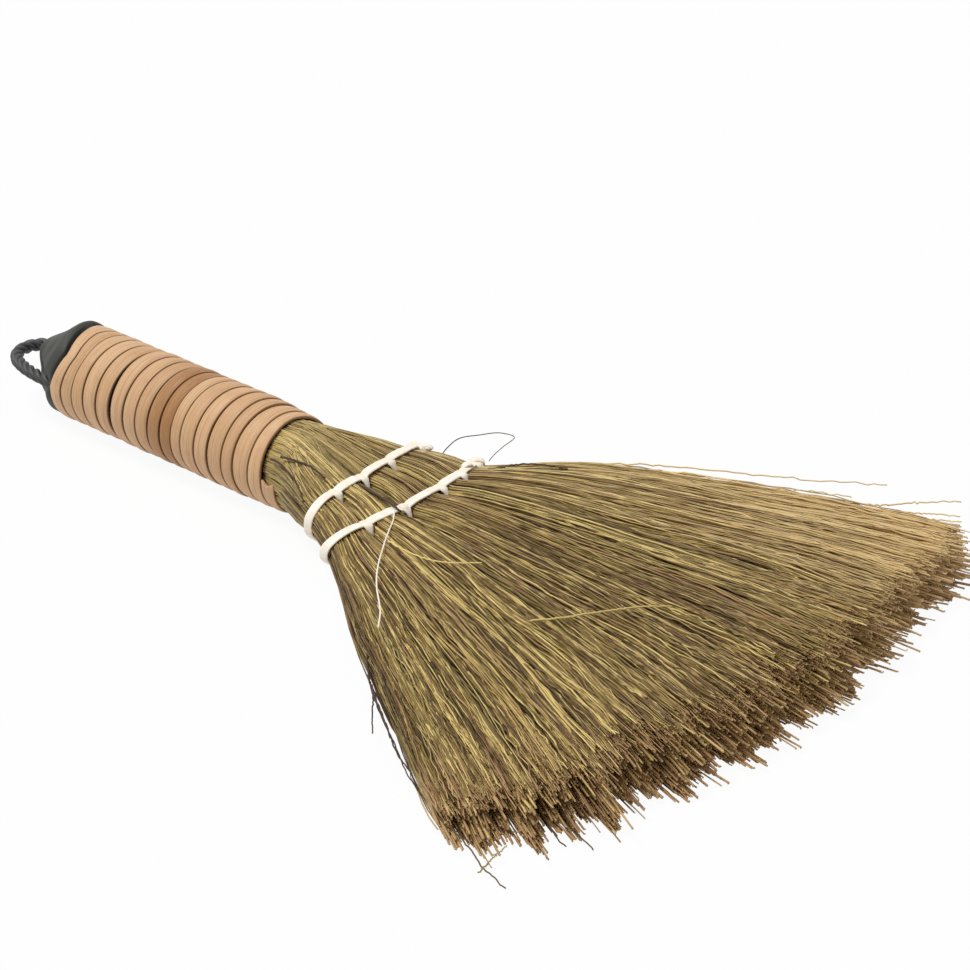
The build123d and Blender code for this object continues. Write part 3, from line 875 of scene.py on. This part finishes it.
def grow(count, places, first_share, level_range, thickness, kink):
    """Grows one batch of stalks: their lines, radii and what they carry for their colour."""
    share = rng.uniform(-1, 1, count)
    low_level, high_level = level_range
    depth_share = rng.random(count)
    level = low_level + (high_level - low_level) * depth_share
    lower = low_level < 0.5
    inner = lower and high_level > 0.5
    start = rng.uniform(*first_share, count)
    sprouts = start > 0.05
    lock, lock_off, lock_half = lock_of(share)
    crossing = rng.random(count) < crossing_share
    swerve = rng.normal(0, 1, count) * np.where(crossing, crossing_swerve, lock_swerve)
    drift = rng.normal(0, 1, count) * np.where(crossing, crossing_drift, lock_drift)
    gathering = lock_off * lock_half
    drift = drift + lock_drifts[lock] - gathering * np.where(crossing, 0.0, tip_gathering)
    held = share - gathering * np.where(crossing, 0.0, row_gathering)
    guide = guide_places(held, level, swerve, drift)
    even = np.linspace(0, 1, places - 1) ** np.where(sprouts, 1.0, 1.18)[:, None]
    travel = start[:, None] + (1 - start[:, None]) * even
    travel = np.concatenate([travel, np.ones((count, 1))], 1)
    line = along_guide(guide, travel)

    free = climb(travel, 0.26, 0.3)
    top_side = np.where(level > 0.5, 1, -1)[:, None]
    waves, phases = lock_waves[0][lock, None], lock_waves[1][lock, None]
    meander = np.sin(waves * 2 * math.pi * travel + phases * 3)
    line[:, :, 1] += lock_meanders[lock, None] * meander * free
    sunk = np.where(crossing, rng.uniform(*crossing_sink, count), 0)
    lock_round = lock_lifts[lock] + lock_raise - lock_fall * lock_off ** 2 - sunk
    line[:, :, 2] += lock_round[:, None] * top_side * np.clip(free, 0.25, 1)

    heading = unit(line[:, -2] - line[:, -3])
    trim = rng.normal(0, inner_trims if inner else surface_trims, count) + lock_trims[lock]
    if lower:
        trim += sum(size * np.sin(rate * share + phase) for size, rate, phase in lower_teeth)
        trim -= lower_draw
    trim -= np.interp(share, recede_shares, recedes) * level ** 1.6
    ragged = rng.random(count) < (0.10 if lower else 0.03)
    trim = trim + np.where(ragged, rng.uniform(*ragged_reach, count), 0)
    reach = climb(travel, 0.8, 0.2)
    line = line + heading[:, None] * (trim[:, None] * reach)[..., None]
    line[:, -1] = line[:, -2] + heading * cut_length
    line[:, :, 2] *= 1 - np.clip(1.05 - level, 0, 0.5)[:, None] * reach ** 2
    line[:, :-1, 2] -= (1 - even) ** 2 * sprouts[:, None] * sprout_depth * top_side

    loose = np.clip((travel - 0.30) / 0.25, least_loose, 1)
    bow_sizes = rng.normal(0, bow_spread, (count, 1))
    bow = bow_sizes * np.sin(math.pi * travel * rng.uniform(1, 4, (count, 1)))
    steps = rng.normal(0, kink, (count, places)) * rng.uniform(0.5, 1.5, (count, 1))
    steps[:, -1] = steps[:, -2]
    line[:, :, 1] += (bow + steps) * loose
    pressed = np.where(level > 0.9, 0.75, 1)[:, None]
    line[:, :, 2] += rng.normal(0, kink * 0.8, (count, places)) * loose * pressed
    width = (thickness * rng.uniform(0.6, 1.4, count))[:, None]
    sprouting = np.clip((travel - start[:, None]) / 0.06, 0.25, 1)
    soft_start = np.where(sprouts[:, None], sprouting, 1)
    knobs = rng.uniform(0.78, 1.18, (count, places))
    swelling = 0.84 + 0.2 * climb(travel, 0, 0.4) - 0.2 * travel
    radii = width * swelling * soft_start * knobs
    line[:, :, 2] = np.maximum(line[:, :, 2], radii * 1.02)
    # shown is 1 at the head's surface and less deeper in; the grass material paints shade by it.
    shown = np.where(level > 0.5, depth_share, 1 - depth_share)
    if inner:
        shown = 0.40 + 0.40 * level
    return {"share": share, "line": line, "radii": radii, "travel": travel, "shown": shown}


batches = {
    "long": [(3, grow(2900, 36, (0.0, 0.0), (0.82, 1.0), 0.00032, 0.00034))],
    "short": [(3, grow(4400, 26, (0.24, 0.72), (0.84, 1.0), 0.00033, 0.00036))],
    "lower": [
        (3, grow(800, 16, (0.0, 0.0), (0.0, 0.14), 0.00046, 0.00026)),
        (3, grow(1500, 12, (0.25, 0.70), (0.0, 0.16), 0.00044, 0.00026)),
        (3, grow(900, 12, (0.0, 0.0), (0.14, 0.84), 0.00056, 0.00028)),
        (4, grow(5600, 7, (0.72, 0.86), (0.05, 0.94), 0.00040, 0.00034)),
    ],
}

# %% Gather the stalks clump by clump
cut_start = 0.985
stalk_pieces = {}
for clump in range(len(clump_edge_shares) - 1):
    for layer, chosen_batches in batches.items():
        points, faces, offset = [], [], 0
        carried = {"stalk_tone": [], "stalk_hue": [], "stalk_along": [], "stalk_shown": []}
        for sides, batch in chosen_batches:
            chosen = clump_of(batch["share"])[0] == clump
            line, radii = batch["line"][chosen], batch["radii"][chosen]
            count, places = radii.shape
            points.append(rings_along(line, radii, sides, 0.4).reshape(-1, 3))
            for face in tube_faces(count, places, sides):
                faces.append([corner + offset for corner in face])
            offset += count * places * sides
            along = batch["travel"][chosen].copy()
            along[:, -2:] = (cut_start, 1.0)
            each = places * sides
            carried["stalk_tone"].append(np.repeat(rng.random(count), each))
            carried["stalk_hue"].append(np.repeat(rng.random(count), each))
            carried["stalk_along"].append(np.repeat(along.ravel(), sides))
            carried["stalk_shown"].append(np.repeat(batch["shown"][chosen], each))
        piece = mesh_piece(
            f"stalks_{layer}_{clump + 1}",
            np.concatenate(points),
            faces,
            {key: np.concatenate(values) for key, values in carried.items()},
        )
        stalk_pieces[piece] = f"bristle_clump_{clump + 1}"
        print(piece.name, sum(len(face) - 2 for face in faces), "triangles")

# %% [markdown]
# ## Stray stalks
# A broom is never combed quite straight. A few stalks stand off the fan's two sides, a few cross
# it, some dark ones lie near the mouth, one dark stalk is laid as painted shade in the shaded
# valley between two clumps, and one dark thread of grass makes a loop at the far side.
# Each row gives a stray's radius, tone, unshaded share (0 takes the full painted depth shade) and
# kinks, and then its own listed places, which are read smoothly.

# %% Lay the stray stalks
strays = (
    (32, 0.75, 0.8, 1.0, ((479, 662, 240), (664, 777, 250), (815, 875, 250), (952, 990, 235),
     (1095, 1097, 225), (1227, 1217, 215), (1295, 1287, 205))),
    (32, 0.8, 0.9, 1.0, ((620, 719, 235), (760, 803, 245), (887, 873, 235), (997, 935, 222),
     (1119, 1068, 200), (1239, 1157, 185))),
    (36, 0.7, 0.8, 1.0, ((1161, 1073, 180), (1327, 1208, 165), (1412, 1330, 160),
     (1511, 1435, 160))),
    (36, 0.8, 0.9, 1.0, ((1264, 1115, 160), (1411, 1274, 140), (1534, 1407, 120))),
    (36, 0.8, 0.9, 1.0, ((1327, 1150, 145), (1451, 1282, 125), (1550, 1398, 105))),
    (34, 0.02, 0.0, 0.6, ((720, -760, 140), (791, -828, 110), (901, -915, 85), (959, -978, 60),
     (1001, -1016, 45))),
    (30, 0.05, 0.1, 0.6, ((760, -800, 120), (852, -879, 110), (1021, -990, 90),
     (1120, -1045, 80), (1269, -1134, 60), (1410, -1198, 50))),
    (36, 0.02, 0.0, 0.6, ((860, -880, 110), (939, -939, 110), (1071, -1017, 85),
     (1179, -1087, 75), (1291, -1133, 65))),
    (34, 0.3, 0.4, 0.8, ((1400, -1170, 80), (1494, -1237, 60), (1631, -1261, 30),
     (1758, -1308, 12), (1880, -1342, 8))),
    (26, 0.6, 0.7, 1.0, ((1779, -1343, 20), (1765, -1272, 30), (1764, -1213, 45))),
    (34, 0.2, 0.3, 1.0, ((1540, -960, 80), (1673, -994, 70), (1821, -1047, 25),
     (1862, -1052, 10))),
    (34, 0.25, 0.3, 1.0, ((1560, -900, 80), (1697, -943, 75), (1849, -989, 25),
     (1929, -1005, 10))),
    (30, 0.3, 0.4, 1.0, ((1540, -1020, 80), (1664, -1066, 70), (1774, -1099, 25),
     (1871, -1143, 10))),
    (34, 0.75, 1.0, 0.6, ((379, -318, 255), (506, -340, 262), (631, -323, 266),
     (742, -234, 268))),
    (38, 0.7, 1.0, 0.5, ((1126, -414, 260), (1204, -321, 268), (1262, -225, 270),
     (1334, -109, 270), (1397, -20, 262))),
    (28, 0.6, 0.9, 1.0, ((-34, -202, 221), (-8, -168, 233), (48, -145, 240))),
    (46, 0.0, 0.0, 0.3, ((-368, -161, 263), (-340, -165, 268), (-241, -189, 256),
     (-188, -206, 243), (-112, -245, 208))),
    (48, 0.0, 0.0, 0.3, ((-321, -156, 286), (-248, -147, 290), (-189, -139, 286),
     (-113, -139, 266))),
    # Painted shade: this dark stalk stands for the shaded valley between two clumps across the
    # rows.
    (56, 0.0, 0.0, 0.3, ((-40, -67, 250), (61, -98, 262), (167, -110, 260), (240, -116, 248))),
    (40, 0.1, 0.1, 0.6, ((200, 370, 225), (290, 450, 247), (370, 500, 253), (440, 530, 248))),
    (22, 0.0, 0.1, 0.0, ((-62, 411, 190), (-30, 398, 225), (-24, 440, 245), (17, 523, 250),
     (61, 588, 250), (109, 607, 245), (126, 529, 235), (123, 480, 215), (106, 477, 190))),
)
stray_radii, stray_tones, stray_unshaded, stray_kinks, stray_routes = zip(*strays)
stray_places = 44
stray_sides = 5
stray_wobble = 0.00018
stray_lines = []
for route, kinks in zip(stray_routes, stray_kinks):
    travel = np.linspace(0, 1, stray_places)[None]
    line = along_guide(np.array([route]) / tenths, travel)[0]
    stray_lines.append(line + rng.normal(0, stray_wobble, (stray_places, 3)) * kinks)
tapering = np.linspace(1.0, 0.7, stray_places)
each = stray_places * stray_sides
stray_stalks = mesh_piece(
    "stray_stalks",
    rings_along(
        np.array(stray_lines), np.array(stray_radii)[:, None] / hundredths * tapering, stray_sides
    ),
    tube_faces(len(strays), stray_places, stray_sides),
    {
        "stalk_tone": np.repeat(stray_tones, each),
        "stalk_hue": np.full(len(strays) * each, 0.3),
        "stalk_along": np.full(len(strays) * each, 0.5),
        # How far each stray escapes the grass's painted depth shade.
        "stalk_shown": np.repeat(stray_unshaded, each),
    },
)
print(len(strays), "stray stalks")

# %% [markdown]
# ## The two rows of binding
# Each row is one flat pale strip that goes once round the head. It starts here as a torus, whose
# points are then pressed onto the head's oval, with a flat section. Between the stitches the band
# rides up over the swelling stalks, and each stitch pulls it down.


# %% Press a ring into a flat band round the head
band_dip = 0.0010
band_rolls = (0.06, -0.08, 0.07, -0.04, 0.08, 0.03)
band_relief = 0.42
band_wave, band_waves = 0.0002, 7
most_pinched = 1.3


def pinch_at(row, share):
    """Gives how near a stitch a place on a row lies: about 1 at a common one."""
    return (1 - groove(row, share)) / 0.3


def band_line(row, share, rise):
    """Gives the middle of a band: rise is 1 on top of the head and -1 underneath."""
    half_width, half_height, middle_y, middle_z = row_sizes(row)
    y = middle_y + (half_width + hoop_thickness / 2) * share
    dip = band_dip * np.minimum(pinch_at(row, share) * (np.abs(share) < 0.95), 1.4)
    height = (half_height + hoop_thickness / 2) * rise - dip * squared(rise, 0.5)
    z = middle_z + row_tilts[row] * (y - middle_y) + height
    return row_place(row, y), y, z


def pressed_band(row):
    """Makes the flat band of one row."""
    band, major, out, side = plain_ring(row + "_band", 260, 12)
    share = squared(np.cos(major), 2 / row_fullness)
    rise = squared(np.sin(major), 2 / row_fullness)
    half_width, half_height = row_sizes(row)[:2]
    x, y, z = band_line(row, share, rise)
    clump, off = clump_of(share)
    across_slope = share ** 2 * squared(share, 0.65) * half_height
    up_slope = rise ** 2 * squared(rise, 0.65) * half_width
    normal = unit(np.stack([across_slope, up_slope], 1))
    pinch = np.minimum(pinch_at(row, share), most_pinched)
    wide = hoop_width / 2 * (1.16 - 0.10 * pinch + 0.03 * np.sin(5 * major))
    roll = np.array(band_rolls)[clump] * (1 - off ** 4) * (rise > 0)
    flat_out = squared(out, 0.4) * hoop_thickness * band_relief
    flat_side = squared(side, 0.4) * wide
    rolled = np.abs(np.sin(roll)) * wide * 0.6
    lifted = flat_out * np.cos(roll) + flat_side * np.sin(roll) + rolled
    along = x + flat_side * np.cos(roll) - flat_out * np.sin(roll)
    along = along + band_wave * np.sin(major * band_waves + 1)
    return press(band, np.stack([along, y + normal[:, 0] * lifted, z + normal[:, 1] * lifted], 1))


bands = {row: pressed_band(row) for row in hoop_bends}

# %% [markdown]
# ## The stitches
# A stitch comes up behind the band, crosses it, and dives into the stalks in front, where it shows
# as a short pointed tooth. It goes through the head and does the same underneath. Each is a ring
# again, pressed onto a closed line of listed points, with its own width at each.

# %% Press a ring into a stitch
stitch_top = (
    (-270, -460, 90, 35),
    (-260, -120, 120, 35),
    (-190, 10, 150, 35),
    (0, 25, 180, 35),
    (200, 0, 180, 35),
    (300, -110, 130, 40),
    (390, -270, 80, 35),
    (460, -460, 40, 30),
    (300, -620, 40, 30),
)
knot_route = (
    (-270, -160, 110, 40),
    (-220, 60, 140, 50),
    (0, 140, 160, 60),
    (220, 60, 130, 50),
    (300, -180, 80, 40),
    (0, -320, 80, 30),
)
row_centre_distance = 0.12


def strap_ring(name, place, turn, route):
    """Makes a closed strap. Each point gives its run, height, half width and half thickness."""
    ring, major, out, side = plain_ring(name, 16 * len(route) // 3, 8)
    route = np.array(route)
    spot = (major / (2 * math.pi)) % 1 * len(route)
    whole = np.floor(spot).astype(int)
    part = (spot - whole)[:, None]
    before, start, end, after = (route[(whole + step) % len(route)] for step in (-1, 0, 1, 2))
    smooth = (
        start
        + part * (end - before) / 2
        + part ** 2 * (2 * before - 5 * start + 4 * end - after) / 2
        + part ** 3 * (3 * start - before - 3 * end + after) / 2
    )
    slope = (end - before) * (1 - part) + (after - start) * part
    heading = unit(slope[:, :2])
    push = squared(out, 0.5) * smooth[:, 3]
    run = smooth[:, 0] - heading[:, 1] * push
    height = smooth[:, 1] + heading[:, 0] * push
    beside = squared(side, 0.6) * smooth[:, 2]
    x = place[0] + run * math.cos(turn) - beside * math.sin(turn)
    y = place[1] + run * math.sin(turn) + beside * math.cos(turn)
    return press(ring, np.stack([x, y, place[2] + height], 1))


def pressed_stitch(name, row, edge, scale):
    """Makes one stitch at the place where two clumps meet."""
    share = np.array(clump_edge_shares[edge])
    x, y, z = band_line(row, share, oval(share))
    middle_y, middle_z = row_sizes(row)[2:]
    middle_z = middle_z + row_tilts[row] * (y - middle_y)
    reach = z - middle_z + hoop_thickness / 2
    upper = np.array(stitch_top) / hundredths * (1, scale, scale, 1) + (0, reach, 0, 0)
    lower = upper[::-1] * (1, -1, 1, 1)
    turn = math.atan2(y - middle_y, row_centre_distance)
    return strap_ring(name, (x, y, middle_z), turn, [*upper, *lower])


stitches = {}
for row, edges in stitched_edges.items():
    for number, edge in enumerate(edges, start=1):
        node = f"{row}_stitch_{number}"
        stitches[node] = pressed_stitch("sewn_" + node, row, edge, rng.uniform(0.9, 1.15))
print(len(stitches), "stitches")

# %% Tie the knots at the rows' far ends
knot_places = (
    ("first_row", 0.92, 0.45, 1.6, 0.45),
    ("second_row", 0.70, 1.2, 0.7, 0.7),
    ("second_row", 0.90, 0.7, 0.9, 0.6),
    ("second_row", 0.955, -0.9, 0.9, 0.6),
    ("second_row", -0.22, 2.6, 0.8, 0.6),
)
knots = []
for number, (row, share, turn, long, tall) in enumerate(knot_places, start=1):
    share = np.array(share)
    x, y, z = band_line(row, share, oval(share))
    route = np.array(knot_route) / hundredths * (long, tall, 1, tall)
    knots.append(strap_ring(f"{row}_knot_{number}", (x, y, z + hoop_thickness / 2), turn, route))

# %% [markdown]
# ## Colours of the grass
# Dry grass runs from straw through olive to a purplish brown. Each stalk carries its own random
# tone and hue, which soft spots shift along the stalk, and wider spots shift the whole head in
# patches. The far side and the mouth are paler. Stalks that lie deep in the head get a painted
# shade, in place of the shadow between the stalks. At the tips, the lower stalks turn a reddish
# brown that is partly their own colour and partly painted light, which lifts their shade. The cut
# ends show pale.

# %% The grass material
grass = Surface("dry_grass")
tone, hue, along, shown = (
    grass.carried("stalk_" + name) for name in ("tone", "hue", "along", "shown")
)
patch = grass.noise(grass.place((0.5, 1.5, 1.0)), 30.0)
own_place = grass.node(
    "ShaderNodeCombineXYZ", None, {"X": along * 30.0, "Y": tone * 90.0, "Z": hue * 90.0}
)
mottle = grass.noise(own_place, 1.0) - 0.5
across_head = grass.node("ShaderNodeSeparateXYZ", None, {"Vector": grass.place()}, output=1)
tips = grass.ramp(along, 0.86, 0.975)
# Painted shade mask: strongest on stalks that lie deep in the head.
painted_depth_shade = 1 - grass.ramp(shown, 0.05, 1.0)
cut_shown = grass.ramp(shown, 0.3, 0.9) * 0.8 + 0.1
olive, straw = paint(143, 119, 56), paint(238, 213, 136)
layers = {
    "tan": (grass.ramp(hue + mottle * 0.5, 0.55, 0.9) * 0.7, (200, 162, 100)),
    "brown": (grass.ramp(1 - tone + mottle * 0.9, 0.63, 0.95) * 0.92, (94, 66, 36)),
    "plum": (grass.ramp(patch + (hue - 0.5) * 0.5, 0.60, 0.82) * 0.55, (140, 104, 74)),
    "far side": (grass.ramp(across_head, 0.01, 0.115) * 0.82, (250, 220, 160)),
    "mouth": ((1 - grass.ramp(along, 0.04, 0.26)) * 0.38, (230, 206, 142)),
    # Painted shade: deep stalks are darkened, less so at the tips, in place of the shadow between
    # stalks.
    "depth": (painted_depth_shade * (0.88 - 0.8 * tips), (56, 38, 20)),
    # Partly the lower stalks' own reddish brown, partly painted light that lifts their shade at the
    # tips.
    "tips": (tips * grass.ramp(1 - shown, 0.05, 0.6) * 0.85, (196, 157, 112)),
    "cut ends": (grass.ramp(along, 0.9855, 0.995) * cut_shown, (206, 176, 118)),
}
colour = grass.mix(grass.ramp(tone + mottle * 1.3, 0.44, 0.86), olive, straw)
colour = grass.cover(colour, layers)
relief = grass.noise(grass.place(), 420.0, 3.0, 0.65)
grass_material = grass.finish(colour, roughness=0.68 - 0.2 * tone, height=relief, depth=0.0002)
wear(grass_material, [*stalk_pieces, stray_stalks])

# %% [markdown]
# ## The other finishes
# The cane has fine grain along the strip, so its pattern follows values that the strip carries
# along and across itself, and its rounded edges carry a painted shade. The pale binding is softer,
# and the rubber and the cord are near black.

# %% Cane, binding, cord and rubber
cane = Surface("split_cane")
strip_across, strip_tone = cane.carried("strip_across"), cane.carried("strip_tone")
along_place = cane.carried("strip_along") * 14.0
cane_place = cane.node(
    "ShaderNodeCombineXYZ", None, {"X": along_place, "Y": strip_across * 6.0, "Z": strip_tone}
)
grain = cane.noise(cane_place, 2.2, 4.0, 0.6)
fine_grain = cane.noise(cane_place, 7.0, 3.0, 0.6)
blotch = cane.noise(cane.place(), 110.0, 3.0, 0.6)
light_cane, dark_cane = paint(227, 185, 140), paint(158, 104, 44)
layers = {
    "streaks": (cane.ramp(grain, 0.44, 0.66) * 0.62, (178, 132, 84)),
    "pale grain": (cane.ramp(fine_grain, 0.5, 0.72) * 0.4, (232, 200, 160)),
    "blotches": (cane.ramp(blotch, 0.5, 0.72) * 0.3, (196, 142, 98)),
    # Painted shade: darkens each strip's rounded edges, where they turn away from the light.
    "edges": (cane.ramp(strip_across * strip_across, 0.203, 0.25) * 0.75, (112, 74, 44)),
}
colour = cane.cover(cane.mix(cane.ramp(strip_tone, 0.0, 0.85), dark_cane, light_cane), layers)
relief = grain + fine_grain * 0.5
wear(cane.finish(colour, 0.42 + 0.2 * grain, relief, 0.0003), winding.values())

binding = Surface("pale_binding", roughness=0.6)
fibre = binding.noise(binding.place((0.5, 1.0, 1.0)), 300.0, 3.0)
white_fibre, pale_fibre = paint(255, 248, 236), paint(246, 230, 206)
colour = binding.mix(binding.ramp(fibre, 0.35, 0.75), white_fibre, pale_fibre)
sewn = [*bands.values(), *stitches.values(), *knots, loose_thread]
wear(binding.finish(colour, height=fibre, depth=0.00005), sewn)

cord = Surface("black_cord")
spots = cord.noise(cord.place(), 900.0, 3.0)
colour = cord.mix(spots, paint(32, 33, 33), paint(62, 63, 62))
wear(cord.finish(colour, 0.35 + 0.3 * spots, spots, 0.0001), [loop_cord])

rubber = Surface("black_rubber")
spots = rubber.noise(rubber.place(), 500.0, 4.0)
creases = rubber.noise(rubber.place((1.0, 0.6, 0.6)), 90.0)
colour = rubber.mix(spots, paint(38, 40, 34), paint(60, 62, 54))
wear(rubber.finish(colour, 0.5 + 0.25 * spots, spots * 0.15 + creases, 0.0005), [cap_skin])

# %% Give the shown solids their finish
butts, twine = Surface("stalk_butts", roughness=0.7), Surface("inner_twine", roughness=0.8)
inner_ties = ("inner_tie_rear", "inner_tie_front")
for stuff, stretch, scale, dark, light, nodes in (
    (butts, (0.05, 1.0, 1.0), 900.0, (84, 58, 36), (128, 94, 58), ("handle_core",)),
    (twine, (1.0, 1.0, 1.0), 800.0, (92, 78, 58), (140, 122, 92), inner_ties),
):
    spots = stuff.noise(stuff.place(stretch), scale, 3.0)
    material = stuff.finish(stuff.mix(spots, paint(*dark), paint(*light)))
    for node in nodes:
        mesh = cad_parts[node].data
        mesh.materials.clear()
        mesh.materials.append(material)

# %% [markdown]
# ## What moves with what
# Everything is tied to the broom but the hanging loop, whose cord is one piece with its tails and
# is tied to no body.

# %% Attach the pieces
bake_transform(loop_cord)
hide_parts("hanging_loop", "loop_tail_near", "loop_tail_far")

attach(loose_thread, "broom")
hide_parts("thread_tail")

def tie_down(piece, slot, *nodes):
    """Lets a piece move with the broom and hides the solids that it replaces; the slot is not used.
    """
    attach(piece, "broom")
    if nodes:
        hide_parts(*nodes)


tie_down(cap_skin, "black_rubber", "end_cap")
tie_down(stray_stalks, "grass_stalk")
for node, strip in winding.items():
    tie_down(strip, "dark_strip" if node == "wrap_strip_middle" else "light_strip", node)
for piece, node in stalk_pieces.items():
    tie_down(piece, "grass_stalk", node)
for row, band in bands.items():
    tie_down(band, "pale_binding", row + "_hoop")
for node, stitch in stitches.items():
    tie_down(stitch, "pale_binding", node)
for knot in knots:
    tie_down(knot, "pale_binding")

# %% [markdown]
# ## Floor and light
# The picture has a plain white ground and soft, even light from above. The floor is white in the
# camera's eyes, and keeps a faint shadow of the broom.

# %% Lay the floor
white = (1.0, 1.0, 1.0, 1.0)
floor_glow = 0.94
bpy.ops.mesh.primitive_plane_add(size=6)
floor = bpy.context.object
floor.name = "white_floor"
ground = Surface("white_ground", roughness=0.9)
ground.feed({"Base Color": paint(235, 235, 235)}, ground.shader)
glow = ground.node("ShaderNodeEmission", None, {"Color": white, "Strength": 1.0})
shade = Value(ground, ground.shader.outputs[0])
shares = {0: ground.seen() * floor_glow, 1: shade, 2: glow}
mixed = ground.node("ShaderNodeMixShader", None, shares)
ground.feed({"Surface": mixed}, ground.tree.nodes["Material Output"])
wear(ground.material, [floor])
floor.select_set(False)

# %% Light the scene
sky_light = 0.48
world = bpy.data.worlds.new("studio")
bpy.context.scene.world = world
world.use_nodes = True
sky = NodeTree(world.node_tree)
strength = sky_light + (1 - sky_light) * sky.seen()
sky.feed({"Color": white, "Strength": strength}, sky.tree.nodes["Background"])

bpy.ops.object.light_add(type="SUN", location=(-0.3, -0.2, 1.0))
key_light = bpy.context.object
key_light.name = "key_light"
key_light.data.energy = 1.95
key_light.data.angle = math.radians(20)
key_light.rotation_mode = "QUATERNION"
key_light.rotation_quaternion = Vector((0.35, 0.25, -1.0)).to_track_quat("-Z", "Y")

bpy.context.scene.view_settings.view_transform = "Standard"
